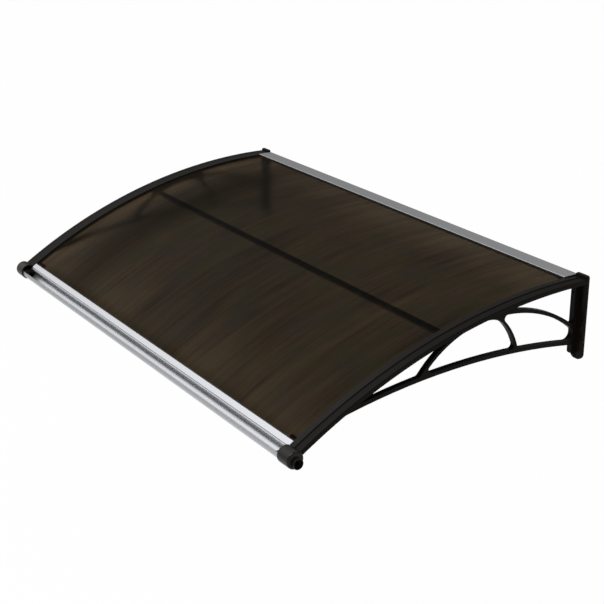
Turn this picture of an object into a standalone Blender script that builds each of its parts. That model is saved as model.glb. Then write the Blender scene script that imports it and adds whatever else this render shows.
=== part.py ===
# Door canopy: a curved polycarbonate sheet between two moulded wall brackets, with an aluminium
# gutter profile in front and an aluminium wall profile behind. Metres, +Z up, -Y away from the wall.
# Origin: mid width, on the wall, at the middle of the wall profile's flat back.

import math

import bmesh
import bpy
from mathutils import Matrix, Vector

# Clearance left between two pieces that touch
GAP = 0.0003

# Roof sheet: a cylinder arc, highest a little in front of the wall
SHEET_WIDTH = 1.380
SHEET_THICKNESS = 0.0045
SHEET_RADIUS = 1.4232
SHEET_REACH = 0.8044
CROWN_FROM_WALL = 0.0504
ARC_STEPS = 32

# Wall profile: an extrusion with a slot for the sheet
WALL_PROFILE_HEIGHT = 0.0208
WALL_PROFILE_DEPTH = 0.041
WALL_PROFILE_SKIN = 0.002
WALL_SHELF_DEPTH = 0.036
WALL_SEAL_HEIGHT = 0.0025
WALL_SEAL_DEPTH = 0.006
WALL_SEAL_PROUD = 0.001

# Rail along each side: an L-shaped ledge on the bracket, covered by the press strip
RAIL_WIDTH = 0.040
SHEET_INTO_RAIL = 0.028
LEDGE_THICKNESS = 0.0032
RAIL_WALL = 0.003
STRIP_OUTER_HEIGHT = 0.0040
STRIP_BAND_WIDTH = 0.019
STRIP_BAND_FALL = 0.0012
STRIP_STEP_WIDTH = 0.0015
STRIP_LIP_HEIGHT = 0.0055
STRIP_INNER_HEIGHT = 0.0025
STRIP_RIDGE_AT = 0.008
STRIP_RIDGE_WIDTH = 0.0015
STRIP_RIDGE_HEIGHT = 0.0005
STRIP_RIB_WIDTH = 0.007
SHEET_SIDE_PLAY = 0.001

# Bracket: wall flange and post
FLANGE_THICKNESS = 0.008
FLANGE_SIDE_SETBACK = 0.0004
FLANGE_TOP = 0.0160
FLANGE_HEIGHT = 0.2112
FLANGE_FOOT_RADIUS = 0.016
FLANGE_HEAD_RADIUS = 0.005
FLANGE_EDGE_RADIUS = 0.0025
POST_DEPTH = 0.0138
POST_FOOT_SETBACK = 0.0128
POST_FOOT_RADIUS = 0.008

# Bracket: the flat web that the brace and the leaves lie in
WEB_THICKNESS = 0.014
WEB_FROM_RAIL_INSIDE = 0.005
BRACE_FOOT_Z = -0.1572
BRACE_TIP_FROM_SHEET_END = 0.0664
BRACE_RISE = 0.037
BRACE_THICKNESS = 0.010
REAR_LEAF_FOOT_Z = -0.1067
REAR_LEAF_CROWN_FROM_WALL = 0.251
REAR_LEAF_CROWN_DROP = 0.0087
REAR_LEAF_THICKNESS = 0.0094
FRONT_LEAF_FOOT_FROM_WALL = 0.4640
FRONT_LEAF_CROWN_FROM_WALL = 0.2704
FRONT_LEAF_CROWN_DROP = 0.0168
FRONT_LEAF_THICKNESS = 0.0078
STRUT_FOOT_FROM_WALL = 0.1990
STRUT_HEAD_FROM_WALL = 0.2600
STRUT_RADIUS = 0.1638
STRUT_THICKNESS = 0.0065
CORNER_SMALL = 0.004
CORNER_MEDIUM = 0.009
CORNER_LARGE = 0.017
LEAF_NOSE_RADIUS = 0.006
ARCH_CORNER_RADIUS = 0.065
OPENING_INTO_LEDGE = 0.0005

# Bracket: screw holes for the wall
WALL_HOLE_RADIUS = 0.0028
UPPER_WALL_HOLE_DROP = 0.0435
LOWER_WALL_HOLE_RISE = 0.0095

# Crossbar on a peg inside each bracket
CROSSBAR_RADIUS = 0.008
CROSSBAR_WALL = 0.0012
CROSSBAR_FROM_WALL = 0.399
PEG_LENGTH = 0.015
PEG_BOSS_RADIUS = 0.011

# Front profile: a slot for the sheet with a round gutter in front of it
FRONT_SLOT_DEPTH = 0.0185
FRONT_TOP_SKIN = 0.0017
FRONT_BOTTOM_SKIN = 0.0018
FRONT_END_WALL = 0.0024
FRONT_FACE_LEAN = 0.0016
FRONT_GROOVE_SETBACK = 0.0058
FRONT_GROOVE_WIDTH = 0.0016
FRONT_GROOVE_DEPTH = 0.0008
GUTTER_RADIUS = 0.017
GUTTER_WALL = 0.0018
GUTTER_AHEAD = 0.0094
GUTTER_DROP = 0.0053
GUTTER_LIP_ANGLE = math.radians(20.0)
GUTTER_PAST_SHEET_SLOT = 0.020
FRONT_SEAL_DEPTH = 0.0027
FRONT_SEAL_HEIGHT = 0.0015
PROFILE_END_PLAY = 0.0005

# End cap on the gutter
CAP_RADIUS = 0.0205
CAP_MOUTH_FROM_RAIL_INSIDE = 0.0035
CAP_LENGTH = 0.040
CAP_END_WALL = 0.003
CAP_EDGE_RADIUS = 0.004
SPOUT_RADIUS = 0.0124
SPOUT_LENGTH = 0.007
SPOUT_BORE_RADIUS = 0.0108
SPOUT_DROP = 0.006
SPOUT_BACK = 0.002
PLUG_PAST_MOUTH = 0.013
PLUG_BORE_RADIUS = 0.0060
PLUG_TOP_BELOW_LIP = 0.001

# Lugs on the bracket that carry the two profiles
LUG_REACH = 0.030
LUG_THICKNESS = 0.004
FRONT_LUG_LENGTH = 0.024
FRONT_LUG_FROM_GUTTER = 0.0035
REAR_LUG_FROM_WALL = 0.005
REAR_LUG_LENGTH = 0.028

# Screws
SCREW_RADIUS = 0.0018
SCREW_HEAD_RADIUS = 0.0035
SCREW_HEAD_HEIGHT = 0.0022
SCREW_RECESS_WIDTH = 0.0009
SCREW_RECESS_LENGTH = 0.0036
SCREW_RECESS_DEPTH = 0.0010
SCREW_COUNT = 5
SCREW_END_MARGIN = 0.060
STRIP_SCREW_BITE = 0.0055
PROFILE_SCREW_BITE = 0.0014

# Fineness of round outlines
CHORD_ERROR = 0.00012
ROUND_SIDES = 40
HOLE_SIDES = 12

# Derived places
SHEET_CROWN_Z = WALL_PROFILE_HEIGHT / 2 - WALL_PROFILE_SKIN - WALL_SEAL_HEIGHT - 2 * GAP
ARC_CENTRE = (-CROWN_FROM_WALL, SHEET_CROWN_Z - SHEET_RADIUS)
RAIL_INSIDE = SHEET_WIDTH / 2 - SHEET_INTO_RAIL
RAIL_OUTSIDE = RAIL_INSIDE + RAIL_WIDTH
BRACE_REACH = SHEET_REACH - BRACE_TIP_FROM_SHEET_END
WEB_INSIDE = RAIL_INSIDE + WEB_FROM_RAIL_INSIDE
WEB_MIDDLE = WEB_INSIDE + WEB_THICKNESS / 2
LEDGE_TOP = -SHEET_THICKNESS - GAP
LEDGE_BOTTOM = LEDGE_TOP - LEDGE_THICKNESS
POST_FRONT = -FLANGE_THICKNESS - POST_DEPTH
FLANGE_BOTTOM = FLANGE_TOP - FLANGE_HEIGHT
PROFILE_HALF = RAIL_INSIDE - PROFILE_END_PLAY
SHEET_FRONT_ANGLE = math.asin((SHEET_REACH - CROWN_FROM_WALL) / SHEET_RADIUS)
SLOT_ANGLE = SHEET_FRONT_ANGLE - FRONT_SLOT_DEPTH / 2 / SHEET_RADIUS
CAP_MOUTH = RAIL_INSIDE + CAP_MOUTH_FROM_RAIL_INSIDE
RIB_OUTSIDE = RAIL_OUTSIDE - SHEET_WIDTH / 2 - SHEET_SIDE_PLAY - STRIP_RIB_WIDTH
SCREW_LINE = RAIL_OUTSIDE - RIB_OUTSIDE - STRIP_RIB_WIDTH / 2

BLACK_PLASTIC = ("black_plastic", (0.012, 0.012, 0.013), 0.42, 0.0)
BRONZE_SHEET = ("bronze_sheet", (0.030, 0.024, 0.018), 0.30, 0.0)
ALUMINIUM = ("aluminium", (0.72, 0.73, 0.75), 0.32, 1.0)
RUBBER = ("rubber", (0.010, 0.010, 0.010), 0.75, 0.0)
ZINC_SCREW = ("zinc_screw", (0.55, 0.55, 0.53), 0.38, 1.0)


# Scene and collections

for old in list(bpy.data.objects):
    bpy.data.objects.remove(old, do_unlink=True)

PARTS = bpy.data.collections.new("door_canopy")
TOOLS = bpy.data.collections.new("construction")
bpy.context.scene.collection.children.link(PARTS)
bpy.context.scene.collection.children.link(TOOLS)


def material(finish):
    name, colour, roughness, metallic = finish
    found = bpy.data.materials.get(name)
    if found:
        return found
    made = bpy.data.materials.new(name)
    made.use_nodes = True
    shader = made.node_tree.nodes["Principled BSDF"]
    shader.inputs["Base Color"].default_value = (*colour, 1.0)
    shader.inputs["Roughness"].default_value = roughness
    shader.inputs["Metallic"].default_value = metallic
    made.diffuse_color = (*colour, 1.0)
    return made


def add_object(name, mesh, finish=None):
    made = bpy.data.objects.new(name, mesh)
    if finish:
        mesh.materials.append(material(finish))
        PARTS.objects.link(made)
    else:
        TOOLS.objects.link(made)
        made.hide_render = True
        made.display_type = "WIRE"
    return made


# The sheet's arc: points at an angle from the crown and a height over the sheet's top face


def arc_point(angle, height):
    reach = SHEET_RADIUS + height
    return (ARC_CENTRE[0] - reach * math.sin(angle), ARC_CENTRE[1] + reach * math.cos(angle))


def angle_at(distance_from_wall):
    return math.asin((distance_from_wall - CROWN_FROM_WALL) / SHEET_RADIUS)


def level_at(distance_from_wall, height):
    reach = SHEET_RADIUS + height
    across = distance_from_wall - CROWN_FROM_WALL
    return ARC_CENTRE[1] + math.sqrt(reach * reach - across * across)


# The front frame: forward along the sheet and up from its top face, from the middle of the front slot

FORWARD = (-math.cos(SLOT_ANGLE), -math.sin(SLOT_ANGLE))
OUTWARD = (-math.sin(SLOT_ANGLE), math.cos(SLOT_ANGLE))
SLOT_MIDDLE = arc_point(SLOT_ANGLE, 0.0)


def front_point(forward, up):
    return (
        SLOT_MIDDLE[0] + forward * FORWARD[0] + up * OUTWARD[0],
        SLOT_MIDDLE[1] + forward * FORWARD[1] + up * OUTWARD[1],
    )


STRIP_REAR = -FRONT_SLOT_DEPTH / 2
STRIP_TOP = GAP + FRONT_TOP_SKIN
STRIP_FRONT = FRONT_SLOT_DEPTH / 2 + FRONT_END_WALL
SLOT_FLOOR = -SHEET_THICKNESS - GAP
SLOT_UNDERSIDE = SLOT_FLOOR - FRONT_BOTTOM_SKIN
GUTTER_FORWARD = STRIP_FRONT + GUTTER_AHEAD
GUTTER_UP = STRIP_TOP - GUTTER_DROP
GUTTER = front_point(GUTTER_FORWARD, GUTTER_UP)


# Flat outlines made of arcs and lines with rounded corners


class Arc:
    # side +1: the shape lies outside the circle; side -1: inside it
    def __init__(self, centre, radius, side):
        self.centre = Vector(centre)
        self.radius = radius
        self.side = side

    def moved_in(self, distance):
        return Arc(self.centre, self.radius + self.side * distance, self.side)

    def nearest(self, point):
        return self.centre + (point - self.centre).normalized() * self.radius

    def between(self, start, end):
        return arc_points(self.centre, start, end)


class Line:
    # inward is the unit vector that points into the shape
    def __init__(self, point, inward):
        self.point = Vector(point)
        self.inward = Vector(inward)

    def moved_in(self, distance):
        return Line(self.point + self.inward * distance, self.inward)

    def nearest(self, point):
        return point - self.inward * (point - self.point).dot(self.inward)

    def between(self, start, end):
        return []


def arc_points(centre, start, end):
    first = start - centre
    second = end - centre
    radius = first.length
    turn = math.atan2(first.x * second.y - first.y * second.x, first.dot(second))
    step = 2 * math.acos(max(0.0, 1 - CHORD_ERROR / radius))
    count = max(1, math.ceil(abs(turn) / step))
    points = []
    for index in range(1, count):
        angle = turn * index / count
        turned = Matrix.Rotation(angle, 2) @ first
        points.append(centre + turned)
    return points


def crossing(one, other, hint):
    if isinstance(one, Arc) and isinstance(other, Arc):
        apart = other.centre - one.centre
        span = apart.length
        along = (span * span + one.radius**2 - other.radius**2) / (2 * span)
        across = math.sqrt(max(0.0, one.radius**2 - along * along))
        base = one.centre + apart.normalized() * along
        aside = Vector((-apart.y, apart.x)).normalized() * across
        choices = [base + aside, base - aside]
    elif isinstance(one, Line) and isinstance(other, Line):
        run = Vector((-one.inward.y, one.inward.x))
        travel = (other.point - one.point).dot(other.inward) / run.dot(other.inward)
        choices = [one.point + run * travel]
    else:
        line, arc = (one, other) if isinstance(one, Line) else (other, one)
        base = line.nearest(arc.centre)
        depth = (base - arc.centre).length
        half = math.sqrt(max(0.0, arc.radius**2 - depth * depth))
        run = Vector((-line.inward.y, line.inward.x)) * half
        choices = [base + run, base - run]
    return min(choices, key=lambda choice: (choice - hint).length)


def rounded_outline(corners):
    # Each corner: a side, the radius where it meets the next side (negative at an inner corner,
    # 0 for a sharp one), and a point near that meeting
    joints = []
    for index, (side, radius, hint) in enumerate(corners):
        following = corners[(index + 1) % len(corners)][0]
        centre = crossing(side.moved_in(radius), following.moved_in(radius), Vector(hint))
        if radius:
            joints.append((side.nearest(centre), centre, following.nearest(centre)))
        else:
            joints.append((centre, centre, centre))
    points = []
    for index, (side, radius, hint) in enumerate(corners):
        entry = joints[index - 1][2]
        leave, centre, onward = joints[index]
        points.append(entry)
        points.extend(side.between(entry, leave))
        if radius:
            points.append(leave)
            points.extend(arc_points(centre, leave, onward))
    return [tuple(point) for point in points]


# Solids

LOOK_ALONG_X = Matrix(((0, 0, 1), (1, 0, 0), (0, 1, 0))).to_4x4()
LOOK_ALONG_Y = Matrix(((1, 0, 0), (0, 0, -1), (0, 1, 0))).to_4x4()
TURN_Z_TO_X = Matrix(((0, 0, 1), (0, 1, 0), (-1, 0, 0))).to_4x4()


def plate(name, loops, thickness, placement, finish=None):
    # A flat outline with holes, filled and extruded both ways from its plane
    curve = bpy.data.curves.new(name, "CURVE")
    curve.dimensions = "2D"
    curve.fill_mode = "BOTH"
    curve.extrude = thickness / 2
    for loop in loops:
        spline = curve.splines.new("POLY")
        spline.points.add(len(loop) - 1)
        for point, (across, up) in zip(spline.points, loop):
            point.co = (across, up, 0.0, 1.0)
        spline.use_cyclic_u = True
    drawn = bpy.data.objects.new(name + "_outline", curve)
    drawn.matrix_world = placement
    TOOLS.objects.link(drawn)
    bpy.context.view_layer.update()
    evaluated = drawn.evaluated_get(bpy.context.evaluated_depsgraph_get())
    mesh = bpy.data.meshes.new_from_object(evaluated)
    shape = bmesh.new()
    shape.from_mesh(mesh)
    bmesh.ops.remove_doubles(shape, verts=shape.verts, dist=0.00002)
    bmesh.ops.recalc_face_normals(shape, faces=shape.faces)
    shape.to_mesh(mesh)
    shape.free()
    made = add_object(name, mesh, finish)
    made.matrix_world = drawn.matrix_world
    bpy.data.objects.remove(drawn, do_unlink=True)
    bpy.data.curves.remove(curve)
    return made


def along_x(name, loops, middle, length, finish=None):
    return plate(name, loops, length, Matrix.Translation((middle, 0, 0)) @ LOOK_ALONG_X, finish)


def along_y(name, loops, middle, length, finish=None):
    return plate(name, loops, length, Matrix.Translation((0, middle, 0)) @ LOOK_ALONG_Y, finish)


def swept(name, section, first_angle, last_angle, finish=None):
    # A section of (x, height over the sheet) spun about the sheet's axis
    shape = bmesh.new()
    corners = []
    for x, height in section:
        y, z = arc_point(first_angle, height)
        corners.append(shape.verts.new((x, y, z)))
    face = shape.faces.new(corners)
    bmesh.ops.spin(
        shape,
        geom=[face, *face.edges, *face.verts],
        cent=(0.0, *ARC_CENTRE),
        axis=(1.0, 0.0, 0.0),
        angle=last_angle - first_angle,
        steps=ARC_STEPS,
        use_duplicate=False,
    )
    bmesh.ops.recalc_face_normals(shape, faces=shape.faces)
    mesh = bpy.data.meshes.new(name)
    shape.to_mesh(mesh)
    shape.free()
    return add_object(name, mesh, finish)


def block(name, low, high, finish=None, placement=None):
    bpy.ops.mesh.primitive_cube_add(size=1.0)
    made = bpy.context.object
    mesh = made.data
    bpy.data.objects.remove(made, do_unlink=True)
    size = Vector(high) - Vector(low)
    middle = (Vector(high) + Vector(low)) / 2
    mesh.transform(Matrix.Translation(middle) @ Matrix.Diagonal((*size, 1.0)))
    if placement:
        mesh.transform(placement)
        if placement.determinant() < 0:
            mesh.flip_normals()
    return add_object(name, mesh, finish)


def rod(name, start, end, radius, sides=ROUND_SIDES):
    start = Vector(start)
    end = Vector(end)
    shape = bmesh.new()
    bmesh.ops.create_cone(
        shape,
        cap_ends=True,
        segments=sides,
        radius1=radius,
        radius2=radius,
        depth=(end - start).length,
        matrix=Matrix.Translation((start + end) / 2)
        @ (end - start).to_track_quat("Z", "Y").to_matrix().to_4x4(),
    )
    mesh = bpy.data.meshes.new(name)
    shape.to_mesh(mesh)
    shape.free()
    return add_object(name, mesh)


def turned(name, profile, sides, placement, finish=None):
    # A profile of (radius, height), top to bottom on its outer side, turned about Z
    shape = bmesh.new()
    points = [shape.verts.new((radius, 0.0, height)) for radius, height in profile]
    for one, other in zip(points, points[1:]):
        shape.edges.new((one, other))
    if profile[0][0] > 0:
        shape.edges.new((points[-1], points[0]))
    mesh = bpy.data.meshes.new(name)
    shape.to_mesh(mesh)
    shape.free()
    made = add_object(name, mesh, finish)
    made.matrix_world = placement
    screw = made.modifiers.new("turn", "SCREW")
    screw.steps = sides
    screw.render_steps = sides
    screw.use_merge_vertices = True
    screw.merge_threshold = 0.00002
    screw.use_smooth_shade = False
    return made


def combine(target, operation, tools):
    for tool in tools:
        boolean = target.modifiers.new(operation.lower() + "_" + tool.name, "BOOLEAN")
        boolean.operation = operation
        boolean.object = tool
        boolean.solver = "EXACT"


def soften(made, width, segments, chosen):
    # Bevels the edges whose two ends both pass the test
    shape = bmesh.new()
    shape.from_mesh(made.data)
    placement = made.matrix_world
    edges = [
        edge
        for edge in shape.edges
        if all(chosen(placement @ vertex.co) for vertex in edge.verts)
        and edge.calc_face_angle(0.0) > math.radians(30)
    ]
    bmesh.ops.bevel(
        shape,
        geom=edges,
        offset=width,
        segments=segments,
        profile=0.5,
        affect="EDGES",
    )
    shape.to_mesh(made.data)
    shape.free()


# Bracket

BRACKET_START = angle_at(FLANGE_THICKNESS / 2)
SHEET_START = angle_at(FLANGE_THICKNESS + 2 * GAP)


def rail_section(side):
    inside = side * RAIL_INSIDE
    outside = side * RAIL_OUTSIDE
    wall = side * (RAIL_OUTSIDE - RAIL_WALL)
    return [
        (outside, LEDGE_BOTTOM),
        (outside, -GAP),
        (wall, -GAP),
        (wall, LEDGE_TOP),
        (inside, LEDGE_TOP),
        (inside, LEDGE_BOTTOM),
    ]


def crowned(crown, foot, side):
    # A circle with its highest point at crown that passes through foot
    across = foot[0] - crown[0]
    drop = crown[1] - foot[1]
    radius = (across * across + drop * drop) / (2 * drop)
    return Arc((crown[0], crown[1] - radius), radius, side)


def bowed(start, end, rise, side):
    # A circle through two points that stands up by rise in the middle
    start = Vector(start)
    end = Vector(end)
    half = (end - start).length / 2
    radius = (half * half + rise * rise) / (2 * rise)
    down = Vector((end.y - start.y, start.x - end.x)).normalized()
    if down.y > 0:
        down = -down
    return Arc((start + end) / 2 + down * (radius - rise), radius, side)


def below_rail(distance_from_wall, drop):
    return (-distance_from_wall, level_at(distance_from_wall, LEDGE_BOTTOM) - drop)


OPENING_TOP = Arc(ARC_CENTRE, SHEET_RADIUS + LEDGE_BOTTOM + OPENING_INTO_LEDGE, -1)
POST_FACE = Line((POST_FRONT, 0.0), (-1.0, 0.0))
BRACE_LOWER = bowed((POST_FRONT, BRACE_FOOT_Z), below_rail(BRACE_REACH, 0.0), BRACE_RISE, 1)
BRACE_UPPER = BRACE_LOWER.moved_in(BRACE_THICKNESS)


def on_brace(distance_from_wall):
    across = -distance_from_wall - BRACE_UPPER.centre.x
    return (-distance_from_wall, BRACE_UPPER.centre.y + math.sqrt(BRACE_UPPER.radius**2 - across**2))


FRONT_LEAF_LOWER = crowned(
    below_rail(FRONT_LEAF_CROWN_FROM_WALL, FRONT_LEAF_CROWN_DROP), on_brace(FRONT_LEAF_FOOT_FROM_WALL), -1
)
FRONT_LEAF_UPPER = Arc(FRONT_LEAF_LOWER.centre, FRONT_LEAF_LOWER.radius + FRONT_LEAF_THICKNESS, 1)
REAR_LEAF_UPPER = crowned(
    below_rail(REAR_LEAF_CROWN_FROM_WALL, REAR_LEAF_CROWN_DROP), (POST_FRONT, REAR_LEAF_FOOT_Z), 1
)
REAR_LEAF_LOWER = Arc(REAR_LEAF_UPPER.centre, REAR_LEAF_UPPER.radius - REAR_LEAF_THICKNESS, -1)


def strut_circle():
    foot = Vector(on_brace(STRUT_FOOT_FROM_WALL))
    across = -STRUT_HEAD_FROM_WALL - FRONT_LEAF_LOWER.centre.x
    rise = math.sqrt(FRONT_LEAF_LOWER.radius**2 - across * across)
    head = Vector((-STRUT_HEAD_FROM_WALL, FRONT_LEAF_LOWER.centre.y + rise))
    half = (head - foot).length / 2
    aside = Vector((foot.y - head.y, head.x - foot.x)).normalized()
    if aside.y > 0:
        aside = -aside
    away = math.sqrt(STRUT_RADIUS**2 - half * half)
    return Arc((head + foot) / 2 + aside * away, STRUT_RADIUS, -1)


STRUT_FRONT = strut_circle()
STRUT_REAR = Arc(STRUT_FRONT.centre, STRUT_FRONT.radius + STRUT_THICKNESS, 1)


def web_loops():
    top = Arc(ARC_CENTRE, SHEET_RADIUS + (LEDGE_TOP + LEDGE_BOTTOM) / 2, -1)
    back = Line((-FLANGE_THICKNESS / 2, 0.0), (-1.0, 0.0))
    foot = Line((0.0, FLANGE_BOTTOM + POST_FOOT_SETBACK), (0.0, 1.0))
    post = Line((POST_FRONT, 0.0), (1.0, 0.0))
    brace_tip = below_rail(BRACE_REACH, 0.0)
    post_foot = (POST_FRONT, foot.point.y)
    outer = rounded_outline(
        [
            (top, 0.0, brace_tip),
            (BRACE_LOWER, -CORNER_SMALL, (POST_FRONT, BRACE_FOOT_Z)),
            (post, POST_FOOT_RADIUS, post_foot),
            (foot, 0.0, (back.point.x, foot.point.y)),
            (back, 0.0, (back.point.x, SHEET_CROWN_Z)),
        ]
    )
    front_leaf_foot = on_brace(FRONT_LEAF_FOOT_FROM_WALL)
    front_leaf_head = below_rail(CROSSBAR_FROM_WALL, FRONT_LEAF_THICKNESS)
    strut_foot = on_brace(STRUT_FOOT_FROM_WALL)
    strut_head = below_rail(STRUT_HEAD_FROM_WALL, FRONT_LEAF_CROWN_DROP)
    rear_crown = below_rail(REAR_LEAF_CROWN_FROM_WALL, REAR_LEAF_CROWN_DROP)
    post_top = (POST_FRONT, level_at(-POST_FRONT, LEDGE_BOTTOM))
    leaf_foot = (POST_FRONT, REAR_LEAF_FOOT_Z)
    post_bottom = (POST_FRONT, BRACE_FOOT_Z)
    slim = rounded_outline(
        [
            (BRACE_UPPER, CORNER_SMALL, below_rail(BRACE_REACH, 0.0)),
            (OPENING_TOP, LEAF_NOSE_RADIUS, front_leaf_head),
            (FRONT_LEAF_UPPER, CORNER_MEDIUM, front_leaf_foot),
        ]
    )
    middle = rounded_outline(
        [
            (BRACE_UPPER, CORNER_MEDIUM, front_leaf_foot),
            (FRONT_LEAF_LOWER, ARCH_CORNER_RADIUS, strut_head),
            (STRUT_FRONT, CORNER_MEDIUM, strut_foot),
        ]
    )
    rear = rounded_outline(
        [
            (BRACE_UPPER, CORNER_MEDIUM, strut_foot),
            (STRUT_REAR, CORNER_MEDIUM, strut_head),
            (REAR_LEAF_LOWER, CORNER_MEDIUM, leaf_foot),
            (POST_FACE, CORNER_LARGE, post_bottom),
        ]
    )
    top_rear = rounded_outline(
        [
            (REAR_LEAF_UPPER, LEAF_NOSE_RADIUS, rear_crown),
            (OPENING_TOP, CORNER_SMALL, post_top),
            (POST_FACE, CORNER_SMALL, leaf_foot),
        ]
    )
    return outer, slim, middle, rear, top_rear


def flange_loop(side):
    inside = side * (RAIL_INSIDE + FLANGE_SIDE_SETBACK)
    outside = side * (RAIL_OUTSIDE - FLANGE_SIDE_SETBACK)
    low, high = min(inside, outside), max(inside, outside)
    left = Line((low, 0.0), (1.0, 0.0))
    right = Line((high, 0.0), (-1.0, 0.0))
    top = Line((0.0, FLANGE_TOP), (0.0, -1.0))
    bottom = Line((0.0, FLANGE_BOTTOM), (0.0, 1.0))
    return rounded_outline(
        [
            (left, FLANGE_FOOT_RADIUS, (low, FLANGE_BOTTOM)),
            (bottom, FLANGE_FOOT_RADIUS, (high, FLANGE_BOTTOM)),
            (right, FLANGE_HEAD_RADIUS, (high, FLANGE_TOP)),
            (top, FLANGE_HEAD_RADIUS, (low, FLANGE_TOP)),
        ]
    )


def crossbar_centre():
    angle = angle_at(CROSSBAR_FROM_WALL)
    return arc_point(angle, LEDGE_BOTTOM - GAP - CROSSBAR_RADIUS)


def strip_screw_angles():
    first = angle_at(SCREW_END_MARGIN)
    last = SHEET_FRONT_ANGLE - SCREW_END_MARGIN / SHEET_RADIUS
    return [first + (last - first) * index / (SCREW_COUNT - 1) for index in range(SCREW_COUNT)]


def radial_rod(name, x, angle, low, high, radius):
    return rod(name, (x, *arc_point(angle, low)), (x, *arc_point(angle, high)), radius, HOLE_SIDES)


FRONT_LUG_FRONT = (
    GUTTER_FORWARD
    - math.sqrt(GUTTER_RADIUS**2 - (GUTTER_UP - SLOT_UNDERSIDE) ** 2)
    - FRONT_LUG_FROM_GUTTER
)
FRONT_LUG_TOP = SLOT_UNDERSIDE - GAP
FRONT_SCREW_FORWARD = STRIP_REAR + (FRONT_LUG_FRONT - STRIP_REAR) / 2
WALL_SHELF_TOP = arc_point(SHEET_START, -SHEET_THICKNESS)[1] - GAP
WALL_SHELF_BOTTOM = WALL_SHELF_TOP - WALL_PROFILE_SKIN
REAR_LUG_TOP = WALL_SHELF_BOTTOM - GAP
LUG_MIDDLE = RAIL_INSIDE - LUG_REACH / 2
REAR_SCREW_FROM_WALL = REAR_LUG_FROM_WALL + REAR_LUG_LENGTH / 2


def front_frame():
    across = Vector((1.0, 0.0, 0.0))
    forward = Vector((0.0, *FORWARD))
    up = Vector((0.0, *OUTWARD))
    rows = Matrix((across, forward, up)).transposed().to_4x4()
    return Matrix.Translation((0.0, *SLOT_MIDDLE)) @ rows


def cap_clearance(side, label):
    # The round space that the end cap takes out of the rail, the strip and the sheet's corner
    return rod(
        "cap_space_" + label,
        (side * (PROFILE_HALF + GAP), *GUTTER),
        (side * (RAIL_OUTSIDE + RAIL_WIDTH), *GUTTER),
        CAP_RADIUS + GAP,
        ROUND_SIDES + ROUND_SIDES // 2,
    )


def build_bracket(side, label):
    bracket = swept(
        "bracket_" + label, rail_section(side), BRACKET_START, SHEET_FRONT_ANGLE, BLACK_PLASTIC
    )
    outer, *openings = web_loops()
    web = along_x("web_" + label, [outer, *openings], side * WEB_MIDDLE, WEB_THICKNESS)
    flange = along_y("flange_" + label, [flange_loop(side)], -FLANGE_THICKNESS / 2, FLANGE_THICKNESS)
    soften(flange, FLANGE_EDGE_RADIUS, 2, lambda point: point.y < -FLANGE_THICKNESS + GAP)
    bar_y, bar_z = crossbar_centre()
    boss = rod(
        "boss_" + label,
        (side * (WEB_INSIDE + GAP), bar_y, bar_z),
        (side * (WEB_INSIDE + WEB_THICKNESS - GAP), bar_y, bar_z),
        PEG_BOSS_RADIUS,
    )
    peg = rod(
        "peg_" + label,
        (side * WEB_MIDDLE, bar_y, bar_z),
        (side * (WEB_INSIDE - PEG_LENGTH), bar_y, bar_z),
        CROSSBAR_RADIUS - CROSSBAR_WALL - GAP,
        ROUND_SIDES // 2,
    )
    lug_low = min(side * (RAIL_INSIDE - LUG_REACH), side * WEB_MIDDLE)
    lug_high = max(side * (RAIL_INSIDE - LUG_REACH), side * WEB_MIDDLE)
    front_lug = block(
        "front_lug_" + label,
        (lug_low, FRONT_LUG_FRONT - FRONT_LUG_LENGTH, FRONT_LUG_TOP - LUG_THICKNESS),
        (lug_high, FRONT_LUG_FRONT, FRONT_LUG_TOP),
        placement=front_frame(),
    )
    rear_lug = block(
        "rear_lug_" + label,
        (lug_low, -REAR_LUG_FROM_WALL - REAR_LUG_LENGTH, REAR_LUG_TOP - LUG_THICKNESS),
        (lug_high, -REAR_LUG_FROM_WALL, REAR_LUG_TOP),
    )
    combine(bracket, "UNION", [web, flange, boss, peg, front_lug, rear_lug])
    hole = SCREW_RADIUS + GAP
    cuts = [cap_clearance(side, label)]
    for number, angle in enumerate(strip_screw_angles(), 1):
        cuts.append(
            radial_rod(
                f"strip_hole_{label}_{number}",
                side * SCREW_LINE,
                angle,
                LEDGE_BOTTOM - LEDGE_THICKNESS,
                LEDGE_TOP + LEDGE_THICKNESS,
                hole,
            )
        )
    lug_x = side * LUG_MIDDLE
    cuts.append(
        rod(
            "front_hole_" + label,
            (lug_x, *front_point(FRONT_SCREW_FORWARD, FRONT_LUG_TOP - 2 * LUG_THICKNESS)),
            (lug_x, *front_point(FRONT_SCREW_FORWARD, FRONT_LUG_TOP + LUG_THICKNESS)),
            hole,
            HOLE_SIDES,
        )
    )
    cuts.append(
        rod(
            "rear_hole_" + label,
            (lug_x, -REAR_SCREW_FROM_WALL, REAR_LUG_TOP - 2 * LUG_THICKNESS),
            (lug_x, -REAR_SCREW_FROM_WALL, REAR_LUG_TOP + LUG_THICKNESS),
            hole,
            HOLE_SIDES,
        )
    )
    flange_middle = side * (RAIL_INSIDE + RAIL_WIDTH / 2)
    for word, x, z in (
        ("upper", side * WEB_MIDDLE, FLANGE_TOP - UPPER_WALL_HOLE_DROP),
        ("lower", flange_middle, FLANGE_BOTTOM + LOWER_WALL_HOLE_RISE),
    ):
        cuts.append(
            rod(
                f"{word}_wall_hole_{label}",
                (x, POST_FRONT - FLANGE_THICKNESS, z),
                (x, FLANGE_THICKNESS, z),
                WALL_HOLE_RADIUS,
                HOLE_SIDES,
            )
        )
    combine(bracket, "DIFFERENCE", cuts)
    return bracket


# Press strip

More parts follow.
